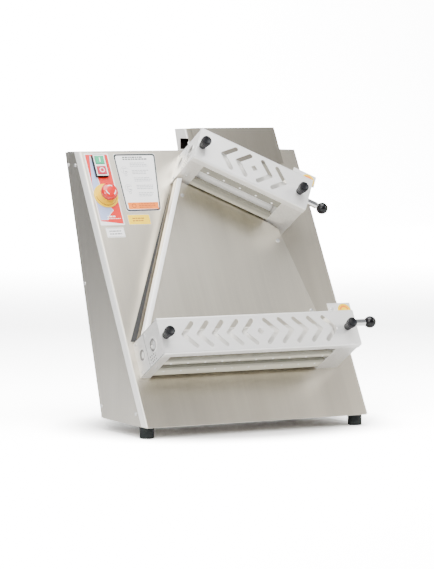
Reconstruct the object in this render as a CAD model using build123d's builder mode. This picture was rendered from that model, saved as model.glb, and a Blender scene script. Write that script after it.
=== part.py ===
# Two-stage bench dough sheeter: a leaning sheet-metal casing that carries a short tilted
# roller head above a long level one, with a chute between them.
# Millimetres and degrees. +Z up, +X to the operator's right, +Y to the back of the machine.
import os
from math import acos, atan2, cos, degrees, hypot, radians, sin, sqrt, tan

from build123d import *

os.makedirs("parts", exist_ok=True)

# ---- casing ----
casing_width = 560.0
panel_length = 676.0  # front panel, measured up its slope
panel_lean = 29.6  # from vertical, leaning back
back_lean = 17.5
top_depth = 73.0
skin = 1.5  # casing sheet
panel_flange = 22.0  # front panel's side returns
panel_bend = 5.0
side_flange = 10.0
shut_line = 1.2  # gap between the panel's returns and the side covers
base_sheet = 2.0
base_inset = 3.0
foot_height = 25.0
foot_radius = 16.0
front_foot_side = 17.0  # foot centres from the casing's sides and front edge
front_foot_back = 32.0
rear_foot_side = 100.0
rear_foot_back = 20.0
hood_width = 230.0
hood_inset = 42.0  # hood's right side from the casing's
hood_rise = 59.0  # above the panel's top edge, up the slope
hood_lap = 36.0  # how far the hood's front laps down over the panel
hood_corner = 10.0
hood_window = 25.0
inlet_place = (-180.0, 52.0)  # cable gland on the back, from its middle and bottom edge

# ---- roller heads ----
roller_radius = 27.0
roller_bore = 10.0
nip_gap = 1.0  # rollers' gap at the finest setting
eccentric_throw = 3.0
gear_teeth = 24
index_step = 360.0 / gear_teeth  # one notch of the thickness lever is one tooth
index_steps = 6
rear_roller_height = roller_radius + 4.0  # roller axis above the panel
cover_height = rear_roller_height + 3 * roller_radius + nip_gap + 17.0  # outer face above the panel
cover_half = roller_radius + 16.0  # half its width, up and down the slope
cover_sheet = 1.5
cover_bend = 4.0
cover_front_lip = 18.0
cover_back_lip = 12.0
bracket_half = cover_half - cover_sheet - 0.5
bracket_gap = 0.3  # cover to bracket
roller_end_gap = 1.0
right_bracket_width = 53.0
wall = 10.0  # bearing walls of the right bracket
side_wall = 5.0
journal_radius = 8.0
bush_radius = 12.0
eccentric_bush_radius = 14.0
running_clearance = 0.05
sleeve_radius = 14.0  # front roller's sleeve that carries its gear
gear_width = 12.0
gear_addendum = 3.0
gear_dedendum = 3.8
gear_start = 11.5  # from the right bracket's inner face
pulley_start = 27.0
pulley_width = 12.0
roller_pulley_radius = 18.0
motor_pulley_radius = 14.0
belt_thickness = 3.0
belt_clearance = 0.3
motor_drop = 40.0  # motor axis from the head's middle, down the slope
motor_depth = top_depth - 15.0  # and behind the panel
motor_radius = 32.0
gearbox_length = 50.0
motor_length = 105.0
motor_shaft_radius = 6.0
mount_sheet = 4.0
chevron_pitch = 37.0
chevron_first = 42.0
chevron_run = 26.0
chevron_rise = 27.0
slot_width = 10.5
centre_square = 12.0
knob_radius = 11.5
knob_length = 29.0
stud_radius = 3.0
stud_depth = 18.0
knob_inset = (12.0, 26.0)  # left and right knob from the cover's ends
lever_radius = 28.0  # index pin from the eccentric's axis
arm_sheet = 7.0
arm_gap = 1.0
index_sleeve_radius = 7.5
index_pin_radius = 3.0
ball_radius = 13.5
ball_reach = 55.0  # ball's middle from the bracket's outer face
index_depth = 6.0
blade_gap = 0.6  # scraper edge to roller
blade_tip = 1.2
blade_root = 6.0
front_blade = -16.0  # scraper edges from the roller axes
rear_blade = 11.0
bar_sheet = 5.0
scale_height = cover_height - 25.0
scale_rise = 30.0
scale_length = 45.0
scale_foot = 24.0
scale_overhang = 13.0
dial_radius = 17.0

# ---- chute ----
chute_height = 27.0  # sliding face above the panel
rail_width = 13.0
rail_height = 15.0

# ---- controls ----
label_sheet = 0.4
left_edge = -casing_width / 2
control_label_middle = (left_edge + 40.0, panel_length - 95.0)
control_label_size = (60.0, 182.0)
switch_middle = (left_edge + 42.0, panel_length - 37.5)
switch_size = (32.0, 56.0)
switch_hole = (22.0, 44.0)
switch_height = 7.0
button_size = (22.0, 20.0)
button_sheet = 5.5
button_spread = 13.0  # button middles above and below the switch's middle
button_travel = 3.0
button_stem_radius = 3.0
estop_middle = (left_edge + 40.0, panel_length - 112.0)
estop_collar_radius = 29.5
estop_hole_radius = 11.3
estop_boss = 9.0
estop_radius = 20.0
estop_stem_radius = 6.0
estop_travel = 5.0
collar_sheet = 3.0

# ---- frame: the origin is on the floor under the middle of the overall box ----
rise = panel_length * cos(radians(panel_lean))
panel_run = panel_length * sin(radians(panel_lean))
back_run = panel_run + top_depth - rise * tan(radians(back_lean))
floor_to_casing = foot_height + base_sheet
upper_x = 76.0
upper_slant = panel_length - 116.0
upper_length = casing_width / 2 + 6.0
lower_x = -17.6
lower_slant = 158.0
lower_length = casing_width - 68.0
screw_head = 2.0
lever_reach = lower_x + lower_length / 2 + ball_reach + ball_radius
mid_x = (casing_width / 2 + screw_head - lever_reach) / 2
slope = radians(panel_lean)
front_reach = (cover_height + knob_length) * cos(slope) - (lower_slant - knob_radius) * sin(slope)
back_reach = panel_run + top_depth + hood_rise * cos(slope) * tan(radians(back_lean))
front_y = (front_reach - back_reach) / 2
panel = Plane(
    origin=(mid_x, front_y, floor_to_casing),
    x_dir=(1, 0, 0),
    z_dir=(0, -cos(slope), sin(slope)),
)


def save(piece, name):
    piece.part.label = name
    export_step(piece.part, f"parts/{name}.step")


def side_point(y, z):
    """A point of the side view, from the panel's bottom edge, in the row's Y and Z."""
    return (front_y + y, floor_to_casing + z)


def back_at(z):
    """How far back the casing's back face is at a height."""
    return back_run + z * tan(radians(back_lean))


def panel_at(z, depth):
    """How far back a plane that lies depth behind the panel's face is at a height."""
    return z * tan(slope) + depth / cos(slope)


def across(bed, a):
    """The plane square to a head's rollers at a along them: x up the slope, y off the panel."""
    return Plane(origin=bed.from_local_coords((a, 0, 0)), x_dir=bed.y_dir, z_dir=bed.x_dir)


def polar(radius, angle):
    return (radius * cos(radians(angle)), radius * sin(radians(angle)))


# the front roller's eccentric turns about the hub; the finest gap is at its first notch
first_lever_angle = -31.0
half_swing = index_step * index_steps / 2
finest = rear_roller_height + 2 * roller_radius + nip_gap
hub = (-eccentric_throw * cos(radians(half_swing)), finest + eccentric_throw * sin(radians(half_swing)))
rear_axis = (0.0, rear_roller_height)
bracket_top = cover_height - cover_sheet - bracket_gap


def from_hub(radius, angle):
    x, y = polar(radius, angle)
    return (hub[0] + x, hub[1] + y)


notch_axes = [from_hub(eccentric_throw, k * index_step - half_swing) for k in range(index_steps + 1)]
notch_pins = [from_hub(lever_radius, first_lever_angle + k * index_step) for k in range(index_steps + 1)]
meshing_axis = notch_axes[0]  # the gears' teeth line up at the finest notch, where they are deepest


class Head:
    """One roller head's own sizes and its bed plane on the panel."""

    def __init__(self, name, x, slant, turn, length, left_width, notch, knob_rise, chevrons, bars):
        self.name = name
        self.bed = Plane(panel.location * Location((x, slant, 0), (0, 0, -turn)))
        self.left = -length / 2
        self.right = length / 2
        self.length = length
        self.left_width = left_width
        self.left_inner = self.left + left_width
        self.right_inner = self.right - right_bracket_width
        self.notch = notch
        self.lever_angle = first_lever_angle + notch * index_step
        self.front_axis = notch_axes[notch]
        self.pin = notch_pins[notch]
        self.sleeve_end = self.right_inner + gear_start + gear_width
        self.gearbox_face = self.right_inner + gear_start + gear_width / 2
        self.arm_start = self.right + arm_gap
        self.knob_places = (
            (self.left + knob_inset[0], knob_rise),
            (self.right - knob_inset[1], knob_rise),
        )
        self.chevrons = chevrons
        self.front_bar, self.rear_bar = bars
        self.x, self.slant, self.turn = x, slant, turn

    def on_panel(self, a, u):
        """A point along and up the head, as the panel's own X and slope."""
        c, s = cos(radians(self.turn)), sin(radians(self.turn))
        return (self.x + a * c + u * s, self.slant - a * s + u * c)


# the bars' low and high edges are measured from the front and the rear roller's axis
upper = Head(
    "upper", upper_x, upper_slant, 29.0, upper_length, 34.0, 0, -6.0, 2, ((2.0, 22.0), (-3.0, 21.0)),
)
lower = Head(
    "lower", lower_x, lower_slant, 0.0, lower_length, 23.0, 4, 0.0, 5, ((-21.0, 2.0), (-19.0, 18.0)),
)
heads = (upper, lower)

motor_axis = (-motor_drop, -motor_depth)
housing_slot = bracket_half - side_wall + 2.0  # panel opening behind the right bracket

# ================= casing =================
with BuildPart() as front_panel:
    with BuildSketch(Plane.YZ.offset(mid_x - casing_width / 2)):
        Polygon(
            side_point(panel_at(0, 0), 0),
            side_point(panel_at(rise, 0), rise),
            side_point(panel_at(rise, panel_flange), rise),
            side_point(panel_at(0, panel_flange), 0),
            align=None,
        )
    extrude(amount=casing_width)
    fillet(front_panel.faces().sort_by(Axis(panel.origin, panel.z_dir))[-1].edges().filter_by(
        Axis(panel.origin, panel.y_dir)), panel_bend)
    with BuildSketch(Plane.YZ.offset(mid_x - casing_width / 2 + skin)):
        Polygon(
            side_point(panel_at(-skin, skin), -skin),
            side_point(panel_at(rise - skin, skin), rise - skin),
            side_point(panel_at(rise - skin, 2 * panel_flange), rise - skin),
            side_point(panel_at(-skin, 2 * panel_flange), -skin),
            align=None,
        )
    extrude(amount=casing_width - 2 * skin, mode=Mode.SUBTRACT)
    with BuildSketch(panel):
        with Locations(switch_middle):
            Rectangle(*switch_hole)
        with Locations(estop_middle):
            Circle(estop_hole_radius)
    extrude(amount=-2 * skin, mode=Mode.SUBTRACT)
    for head in heads:
        with BuildSketch(head.bed):
            with Locations(((head.right_inner + head.right) / 2, 0)):
                Rectangle(right_bracket_width - 2 * wall, 2 * housing_slot)
        extrude(amount=-2 * skin, mode=Mode.SUBTRACT)
save(front_panel, "front_panel")

cover_front = panel_flange + shut_line
side_top = rise - skin - 0.2
side_outline = (
    side_point(panel_at(0, cover_front), 0),
    side_point(panel_at(side_top, cover_front), side_top),
    side_point(back_at(side_top), side_top),
    side_point(back_at(0), 0),
)
for name, sign in (("left_side_cover", -1), ("right_side_cover", 1)):
    face = Plane.YZ.offset(mid_x + sign * casing_width / 2)
    with BuildPart() as side_cover:
        with BuildSketch(face):
            Polygon(*side_outline, align=None)
        extrude(amount=-sign * side_flange)
        with BuildSketch(face.offset(-sign * skin)):
            Polygon(*side_outline, align=None)
            offset(amount=-skin, kind=Kind.INTERSECTION)
        extrude(amount=-sign * side_flange, mode=Mode.SUBTRACT)
    save(side_cover, name)

# the back and the top are one bent sheet, with louvres low down
back_width = casing_width - 2 * 6.0
with BuildPart() as back_cover:
    with BuildSketch(Plane.YZ.offset(mid_x - back_width / 2)):
        Polygon(
            side_point(panel_at(rise - skin, panel_flange + 0.5), rise - skin),
            side_point(panel_at(rise, panel_flange + 0.5), rise),
            side_point(back_at(rise) + skin / cos(radians(back_lean)), rise),
            side_point(back_at(0) + skin / cos(radians(back_lean)), 0),
            side_point(back_at(0), 0),
            side_point(back_at(rise - skin), rise - skin),
            align=None,
        )
    extrude(amount=back_width)
    back_face = Plane(
        origin=(mid_x, *side_point(back_at(0), 0)),
        x_dir=(-1, 0, 0),
        z_dir=(0, cos(radians(back_lean)), -sin(radians(back_lean))),
    )
    with BuildSketch(back_face.offset(-skin)):
        with Locations((0, 150)):
            with GridLocations(70, 14, 5, 7):
                SlotOverall(54, 4)
    extrude(amount=4 * skin, mode=Mode.SUBTRACT)
    with BuildSketch(back_face.offset(-skin)):
        with Locations(inlet_place):
            Circle(8.2)
    extrude(amount=4 * skin, mode=Mode.SUBTRACT)
save(back_cover, "back_cover")

feet_places = [
    (mid_x + sign * (casing_width / 2 - inset), front_y + depth)
    for inset, depth in ((front_foot_side, front_foot_back), (rear_foot_side, back_run - rear_foot_back))
    for sign in (-1, 1)
]
with BuildPart() as base_plate:
    with BuildSketch(Plane.XY.offset(foot_height)):
        with Locations((mid_x, front_y + (base_inset + back_run) / 2)):
            Rectangle(casing_width - 2 * base_inset, back_run - base_inset)
    extrude(amount=base_sheet)
    with BuildSketch(Plane.XY.offset(foot_height)):
        with Locations(*feet_places):
            Circle(3.2)
        with Locations((mid_x, front_y + back_run * 0.62)):
            with GridLocations(60, 12, 4, 3):
                SlotOverall(44, 4)
    extrude(amount=base_sheet, mode=Mode.SUBTRACT)
save(base_plate, "base_plate")

with BuildPart() as feet:
    with BuildSketch(Plane.XY):
        with Locations(*feet_places):
            Circle(foot_radius)
    extrude(amount=foot_height)
    chamfer(feet.faces().sort_by(Axis.Z)[:4].edges(), 1.5)
    with BuildSketch(Plane.XY):
        with Locations(*feet_places):
            Circle(6)
    extrude(amount=4, mode=Mode.SUBTRACT)
    with BuildSketch(Plane.XY):
        with Locations(*feet_places):
            Circle(3)
    extrude(amount=foot_height, mode=Mode.SUBTRACT)
save(feet, "feet")

with BuildPart() as foot_bolts:
    with BuildSketch(Plane.XY.offset(4)):
        with Locations(*feet_places):
            Circle(3)
    extrude(amount=foot_height + base_sheet - 4)
    with BuildSketch(Plane.XY.offset(floor_to_casing)):
        with Locations(*feet_places):
            RegularPolygon(radius=6, side_count=6)
    extrude(amount=5)
save(foot_bolts, "foot_bolts")

hood_top = rise + hood_rise * cos(slope)
hood_outline = (
    side_point(panel_at(rise, 0), rise),
    side_point(panel_at(hood_top, 0), hood_top),
    side_point(back_at(hood_top - 2), hood_top - 2),
    side_point(back_at(rise), rise),
)
hood_left = casing_width / 2 - hood_inset - hood_width
front_sheet = hood_lap + hood_rise
with BuildPart() as hood:
    with BuildSketch(Plane.YZ.offset(mid_x + hood_left)):
        Polygon(*hood_outline, align=None)
    extrude(amount=hood_width)
    corner = hood.edges().filter_by(Axis(panel.origin, panel.y_dir)).sort_by(Axis.X)[0]
    chamfer(corner, hood_corner)
    offset(amount=-skin, openings=hood.faces().sort_by(Axis.Z)[0])
    with BuildSketch(Plane.YZ.offset(mid_x + hood_left)):
        with Locations(side_point(back_at(rise) - 31, rise + 3 + hood_window / 2)):
            Rectangle(40, hood_window)
    extrude(amount=2 * skin, mode=Mode.SUBTRACT)
    # the front sheet laps down over the panel
    with BuildSketch(panel):
        with Locations((hood_left + hood_corner, panel_length - hood_lap)):
            Rectangle(hood_width - hood_corner, front_sheet, align=Align.MIN)
    extrude(amount=skin)
save(hood, "hood")

screw_radius = 4.0
side_screws = [
    side_point(back_at(z) - 9, z) for z in (25.0, rise / 2, rise - 30.0)
] + [side_point(panel_at(z, cover_front) + 9, z) for z in (25.0, rise - 30.0)]
with BuildPart() as casing_screws:
    for sign in (-1, 1):
        with BuildSketch(Plane.YZ.offset(mid_x + sign * casing_width / 2)):
            with Locations(*side_screws):
                Circle(screw_radius)
        extrude(amount=sign * screw_head)
    fillet(casing_screws.edges().filter_by(GeomType.CIRCLE).group_by(Axis.X)[0], 1.4)
    fillet(casing_screws.edges().filter_by(GeomType.CIRCLE).group_by(Axis.X)[-1], 1.4)
    with BuildSketch(back_face.offset(skin)):
        with Locations((0, panel_length * 0.45)):
            with GridLocations(back_width - 16, 260, 2, 3):
                Circle(screw_radius)
    extrude(amount=screw_head)
save(casing_screws, "casing_screws")

# ================= chute =================
chute_end = bracket_half + 5.0  # clear of the brackets above and below
rail_top = upper.on_panel(upper.left + 11.0, -chute_end)
rail_foot = (lower.on_panel(lower.left_inner, 0)[0] - 1, lower_slant + chute_end)
chute_shoulder = upper.on_panel(upper.right - 18.0, -chute_end - 4.6)
chute_foot = (lower_x + lower.right - 19.4, lower_slant + chute_end)
chute_corners = (
    rail_top,
    upper.on_panel(upper.right - 42.0, -chute_end),
    chute_shoulder,
    chute_foot,
    rail_foot,
)
chute_screws = (
    (rail_top[0] - 2.0, rail_top[1] - 36.0),
    (chute_shoulder[0] - 10.0, chute_shoulder[1] - 28.0),
    (chute_foot[0] - 20.0, chute_foot[1] + 45.0),
    (rail_foot[0] + 36.6, rail_foot[1] + 36.0),
)
with BuildPart() as chute_plate:
    with BuildSketch(panel.offset(chute_height - skin)):
        Polygon(*chute_corners, align=None)
    extrude(amount=skin)
    fillet(chute_plate.edges().filter_by(Axis(panel.origin, panel.z_dir)).sort_by(Axis.X)[-3:-2], 12)
    with BuildSketch(panel.offset(chute_height - skin)):
        Polygon(
            rail_top,
            rail_foot,
            (rail_foot[0] - rail_width, rail_foot[1]),
            (rail_top[0] - rail_width, rail_top[1]),
            align=None,
        )
    extrude(amount=skin + rail_height)
    with BuildSketch(panel.offset(chute_height)):
        with Locations(*chute_screws):
            Circle(2.1)
    extrude(amount=-2 * skin, mode=Mode.SUBTRACT)
save(chute_plate, "chute_plate")

with BuildPart() as chute_spacers:
    with BuildSketch(panel):
        with Locations(*chute_screws):
            Circle(6)
    extrude(amount=chute_height - skin)
    with BuildSketch(panel.offset(chute_height - skin)):
        with Locations(*chute_screws):
            Circle(2)
    extrude(amount=skin)
    with BuildSketch(panel.offset(chute_height)):
        with Locations(*chute_screws):
            Circle(4)
    extrude(amount=2)
save(chute_spacers, "chute_spacers")


# ================= roller heads =================
def gear(bed, axis, start, first_tooth, bore):
    """A spur gear with straight-sided long teeth, which stay in mesh as the gap opens."""
    pitch_radius = (2 * roller_radius + nip_gap) / 2
    root, tip = pitch_radius - gear_dedendum, pitch_radius + gear_addendum
    half_pitch = 180 / gear_teeth
    with BuildPart() as wheel:
        with BuildSketch(across(bed, start)):
            with Locations(axis):
                Circle(root)
                for tooth in range(gear_teeth):
                    angle = first_tooth + tooth * 2 * half_pitch
                    flank = [
                        (root - 1, 0.52 * half_pitch),
                        (pitch_radius, 0.4 * half_pitch),
                        (tip, 0.16 * half_pitch),
                    ]
                    Polygon(
                        *[polar(r, angle - w) for r, w in flank],
                        *[polar(r, angle + w) for r, w in reversed(flank)],
                        align=None,
                    )
                Circle(bore, mode=Mode.SUBTRACT)
        extrude(amount=gear_width)
    return wheel


def bracket_profile():
    """A bearing block's side view, with its top corners eased to clear the cover's bends."""
    Polygon(
        (-bracket_half, 0),
        (bracket_half, 0),
        (bracket_half, bracket_top - cover_bend),
        (bracket_half - cover_bend, bracket_top),
        (cover_bend - bracket_half, bracket_top),
        (-bracket_half, bracket_top - cover_bend),
        align=None,
    )


def toward(axis, other):
    """The direction in a head's section from one axis to another, in degrees."""
    return degrees(atan2(other[1] - axis[1], other[0] - axis[0]))


def add_bearings(head):
    name, bed = head.name, head.bed
    with BuildPart() as left_bracket:
        with BuildSketch(across(bed, head.left)):
            bracket_profile()
        extrude(amount=head.left_width)
        with BuildSketch(across(bed, head.left)):
            with Locations(rear_axis):
                Circle(bush_radius)
            with Locations(hub):
                Circle(eccentric_bush_radius)
        extrude(amount=head.left_width, mode=Mode.SUBTRACT)
        with BuildSketch(bed.offset(bracket_top)):
            with Locations(head.knob_places[0]):
                Circle(stud_radius + 0.3)
        extrude(amount=-stud_depth - 2, mode=Mode.SUBTRACT)
    save(left_bracket, f"{name}_left_bracket")

    with BuildPart() as right_bracket:
        with BuildSketch(across(bed, head.right_inner)):
            bracket_profile()
        extrude(amount=right_bracket_width - wall)
        with BuildSketch(across(bed, head.right_inner + wall)):
            with Locations((0, (bracket_top - side_wall) / 2)):
                Rectangle(2 * (bracket_half - side_wall), bracket_top - side_wall)
        extrude(amount=right_bracket_width - 2 * wall, mode=Mode.SUBTRACT)
        with BuildSketch(across(bed, head.right_inner)):
            with Locations(rear_axis):
                Circle(bush_radius)
            with Locations(hub):
                Circle(sleeve_radius + eccentric_throw + 1)
        extrude(amount=wall, mode=Mode.SUBTRACT)
        with BuildSketch(bed.offset(bracket_top)):
            with Locations(head.knob_places[1]):
                Circle(stud_radius + 0.3)
        extrude(amount=-side_wall - 1, mode=Mode.SUBTRACT)
    save(right_bracket, f"{name}_right_bracket")

    with BuildPart() as bracket_cap:
        with BuildSketch(across(bed, head.right - wall)):
            bracket_profile()
            with Locations(rear_axis):
                Circle(bush_radius, mode=Mode.SUBTRACT)
            with Locations(hub):
                Circle(eccentric_bush_radius, mode=Mode.SUBTRACT)
        extrude(amount=wall)
        with BuildSketch(across(bed, head.right)):
            with Locations(*notch_pins):
                Circle(index_pin_radius + 0.4)
        extrude(amount=-index_depth - 1, mode=Mode.SUBTRACT)
    save(bracket_cap, f"{name}_bracket_cap")


def add_rollers(head):
    name, bed = head.name, head.bed
    with BuildPart() as rear_roller:
        with BuildSketch(across(bed, head.left_inner + roller_end_gap)):
            with Locations(rear_axis):
                Circle(roller_radius)
        extrude(amount=head.right_inner - head.left_inner - 2 * roller_end_gap)
        with BuildSketch(across(bed, head.left + 2)):
            with Locations(rear_axis):
                Circle(journal_radius)
        extrude(amount=head.length - 4)
    save(rear_roller, f"{name}_rear_roller")

    to_front = toward(rear_axis, meshing_axis)
    geared = gear(bed, rear_axis, head.right_inner + gear_start, to_front, journal_radius)
    with BuildPart() as rear_gear:
        add(geared.part)
        with BuildSketch(across(bed, head.sleeve_end)):
            with Locations(rear_axis):
                Circle(journal_radius + 5)
                Circle(journal_radius, mode=Mode.SUBTRACT)
        extrude(amount=pulley_start - gear_start - gear_width)
        with BuildSketch(across(bed, head.right_inner + pulley_start)):
            with Locations(rear_axis):
                Circle(roller_pulley_radius)
                Circle(journal_radius, mode=Mode.SUBTRACT)
        extrude(amount=pulley_width)
    save(rear_gear, f"{name}_rear_gear")

    # front roller turns on an eccentric shaft, which the lever turns
    shaft_bore = roller_bore + running_clearance
    with BuildPart() as front_roller:
        with BuildSketch(across(bed, head.left_inner + roller_end_gap)):
            with Locations(head.front_axis):
                Circle(roller_radius)
        extrude(amount=head.right_inner - head.left_inner - 2 * roller_end_gap)
        with BuildSketch(across(bed, head.right_inner - roller_end_gap)):
            with Locations(head.front_axis):
                Circle(sleeve_radius)
        extrude(amount=head.sleeve_end - head.right_inner + roller_end_gap)
        with BuildSketch(across(bed, head.left_inner)):
            with Locations(head.front_axis):
                Circle(shaft_bore)
        extrude(amount=head.sleeve_end - head.left_inner, mode=Mode.SUBTRACT)
    save(front_roller, f"{name}_front_roller")

    first_gap = toward(meshing_axis, rear_axis) + 180 / gear_teeth
    front_gear = gear(bed, head.front_axis, head.right_inner + gear_start, first_gap, sleeve_radius)
    save(front_gear, f"{name}_front_gear")

    with BuildPart() as front_shaft:
        with BuildSketch(across(bed, head.left_inner + 0.3)):
            with Locations(head.front_axis):
                Circle(roller_bore)
        extrude(amount=head.sleeve_end + 2 - head.left_inner)
        for start, end in (
            (head.left + 2, head.left_inner + 0.3),
            (head.sleeve_end + 2.3, head.arm_start + arm_sheet),
        ):
            with BuildSketch(across(bed, start)):
                with Locations(hub):
                    Circle(roller_bore)
            extrude(amount=end - start)
    save(front_shaft, f"{name}_front_shaft")


def add_lever(head):
    """An arm on the eccentric's end with a sprung index pin, its ball, and the scale plate."""
    name, bed = head.name, head.bed
    lean = Location((hub[0], hub[1], 0), (0, 0, head.lever_angle))
    with BuildPart() as lever_arm:
        with BuildSketch(across(bed, head.arm_start)):
            with Locations(hub):
                Circle(roller_bore + 6)
            with Locations(head.pin):
                Circle(index_sleeve_radius + 3)
            with Locations(lean):
                with Locations((lever_radius / 2, 0)):
                    Rectangle(lever_radius, 2 * (index_sleeve_radius + 2.5))
            with Locations(hub):
                Circle(roller_bore, mode=Mode.SUBTRACT)
        extrude(amount=arm_sheet)
        with BuildSketch(across(bed, head.arm_start)):
            with Locations(head.pin):
                Circle(index_sleeve_radius)
        extrude(amount=ball_reach - ball_radius - arm_gap - 1)
        with BuildSketch(across(bed, head.arm_start)):
            with Locations(head.pin):
                Circle(index_pin_radius + running_clearance)
        extrude(amount=ball_reach, mode=Mode.SUBTRACT)
    save(lever_arm, f"{name}_lever_arm")

    with BuildPart() as index_pin:
        with BuildSketch(across(bed, head.right - index_depth)):
            with Locations(head.pin):
                Circle(index_pin_radius)
        extrude(amount=index_depth + ball_reach - 2)
    save(index_pin, f"{name}_index_pin")

    ball_middle = across(bed, head.right + ball_reach).from_local_coords((*head.pin, 0))
    with BuildPart() as lever_ball:
        with Locations(ball_middle):
            Sphere(ball_radius)
        with BuildSketch(across(bed, head.right + ball_reach - ball_radius - 1)):
            with Locations(head.pin):
                Circle(index_pin_radius)
        extrude(amount=ball_radius + 1 - 2, mode=Mode.SUBTRACT)
        # a flat where the stem enters
        with BuildSketch(across(bed, head.right + ball_reach - ball_radius - 1)):
            with Locations(head.pin):
                Circle(ball_radius)
        extrude(amount=2.2, mode=Mode.SUBTRACT)
    save(lever_ball, f"{name}_lever_ball")

    # a foot on the bracket's upper side and a plate that faces the operator
    with BuildPart() as scale_plate:
        with BuildSketch(bed.offset(scale_height)):
            with Locations((head.right - scale_length, bracket_half)):
                Rectangle(scale_length + scale_overhang, scale_rise, align=Align.MIN)
        extrude(amount=-skin)
        with BuildSketch(bed.offset(scale_height)):
            with Locations((head.right - scale_length, bracket_half)):
                Rectangle(scale_length - 2, skin, align=Align.MIN)
        extrude(amount=-scale_foot)
    save(scale_plate, f"{name}_scale_plate")


def add_scrapers(head):
    """Two bars on the exit side, each with a blade that stops just short of its roller."""
    near = bar_sheet - bracket_half
    reach = roller_radius + blade_gap
    with BuildPart() as scrapers:
        for bar, axes, edge in (
            (head.front_bar, notch_axes, front_blade),
            (head.rear_bar, [rear_axis], rear_blade),
        ):
            low, high = axes[0][1] + bar[0], axes[0][1] + bar[1]
            middle = axes[0][1] + edge
            root = max(low, min(middle - blade_root / 2, high - blade_root))
            tip = min(x - sqrt(reach**2 - (abs(middle - y) - blade_tip / 2) ** 2) for x, y in axes)
            with BuildSketch(across(head.bed, head.left_inner)):
                Polygon((-bracket_half, low), (near, low), (near, high), (-bracket_half, high), align=None)
                Polygon(
                    (near - 1, root),
                    (near - 1, root + blade_root),
                    (tip, middle + blade_tip / 2),
                    (tip, middle - blade_tip / 2),
                    align=None,
                )
            extrude(amount=head.right_inner - head.left_inner)
    save(scrapers, f"{head.name}_scrapers")


def add_cover(head):
    """The perforated cover and the two knobs that hold it."""
    name, bed = head.name, head.bed
    with BuildPart() as cover:
        with BuildSketch(across(bed, head.left)):
            with BuildLine():
                outline = FilletPolyline(
                    (-cover_half, cover_height - cover_front_lip),
                    (-cover_half, cover_height),
                    (cover_half, cover_height),
                    (cover_half, cover_height - cover_back_lip),
                    radius=cover_bend,
                )
                offset(outline, amount=cover_sheet, side=Side.RIGHT)
            make_face()
        extrude(amount=head.length)
        with BuildSketch(bed.offset(cover_height)):
            for side in (-1, 1):
                for k in range(head.chevrons):
                    tip_a = side * (chevron_first + k * chevron_pitch)
                    for up in (-1, 1):
                        with Locations((tip_a - side * chevron_run / 2, up * chevron_rise / 2)):
                            SlotCenterToCenter(
                                hypot(chevron_run, chevron_rise), slot_width,
                                rotation=degrees(atan2(-up * chevron_rise, side * chevron_run)),
                            )
            Rectangle(centre_square, centre_square, rotation=45)
            with Locations(*head.knob_places):
                Circle(stud_radius + 0.5)
        extrude(amount=-3 * cover_sheet, mode=Mode.SUBTRACT)
    save(cover, f"{name}_cover")

    for side, place in zip(("left", "right"), head.knob_places):
        with BuildPart() as knob:
            with BuildSketch(bed.offset(cover_height)):
                with Locations(place):
                    Circle(knob_radius)
            extrude(amount=knob_length)
            chamfer(knob.faces().sort_by(Axis(bed.origin, bed.z_dir))[-1].edges(), 1.5)
            with BuildSketch(bed.offset(cover_height)):
                with Locations(place):
                    Circle(stud_radius)
            extrude(amount=-cover_sheet - stud_depth)
        save(knob, f"{name}_{side}_knob")


def add_drive(head):
    """A gearmotor behind the panel and a belt up to the rear roller's pulley."""
    bed, name = head.bed, head.name
    face = head.gearbox_face
    pulley_at = head.right_inner + pulley_start
    with BuildPart() as gearmotor:
        with BuildSketch(across(bed, face)):
            with Locations(motor_axis):
                RectangleRounded(2 * motor_radius, 2 * motor_radius, 5)
        extrude(amount=-gearbox_length)
        with BuildSketch(across(bed, face - gearbox_length)):
            with Locations(motor_axis):
                Circle(motor_radius)
        extrude(amount=-motor_length)
        with BuildSketch(across(bed, face)):
            with Locations(motor_axis):
                with PolarLocations(motor_radius - 8, 4, 45):
                    Circle(2.6)
        extrude(amount=-12, mode=Mode.SUBTRACT)
    save(gearmotor, f"{name}_gearmotor")

    with BuildPart() as motor_pulley:
        with BuildSketch(across(bed, face + 0.5)):
            with Locations(motor_axis):
                Circle(motor_shaft_radius)
        extrude(amount=pulley_at + pulley_width - face - 0.5)
        with BuildSketch(across(bed, pulley_at)):
            with Locations(motor_axis):
                Circle(motor_pulley_radius)
        extrude(amount=pulley_width)
    save(motor_pulley, f"{name}_motor_pulley")

    # the belt is the ring between two outlines, each the common tangents of two circles
    with BuildPart() as belt:
        with BuildSketch(across(bed, pulley_at + 1)):
            with Locations(rear_axis):
                Circle(roller_pulley_radius + belt_clearance + belt_thickness)
            with Locations(motor_axis):
                Circle(motor_pulley_radius + belt_clearance + belt_thickness)
            make_hull()
            with Locations(rear_axis):
                Circle(roller_pulley_radius + belt_clearance, mode=Mode.SUBTRACT)
            with Locations(motor_axis):
                Circle(motor_pulley_radius + belt_clearance, mode=Mode.SUBTRACT)
            add(belt_window(rear_axis, motor_axis), mode=Mode.SUBTRACT)
        extrude(amount=pulley_width - 2)
    save(belt, f"{name}_drive_belt")


def belt_window(first, second):
    """The quadrilateral between two circles' common outer tangents, just inside the belt."""
    a, b = roller_pulley_radius + belt_clearance, motor_pulley_radius + belt_clearance
    run = hypot(second[0] - first[0], second[1] - first[1])
    line = toward(first, second)
    spread = degrees(acos((a - b) / run))
    corners = []
    for middle, radius, angle in (
        (first, a, line + spread),
        (second, b, line + spread),
        (second, b, line - spread),
        (first, a, line - spread),
    ):
        x, y = polar(radius, angle)
        corners.append((middle[0] + x, middle[1] + y))
    with BuildSketch() as window:
        Polygon(*corners, align=None)
    return window.sketch


for head in heads:
    add_bearings(head)
    add_rollers(head)
    add_lever(head)
    add_scrapers(head)
    add_cover(head)
    add_drive(head)

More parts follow.
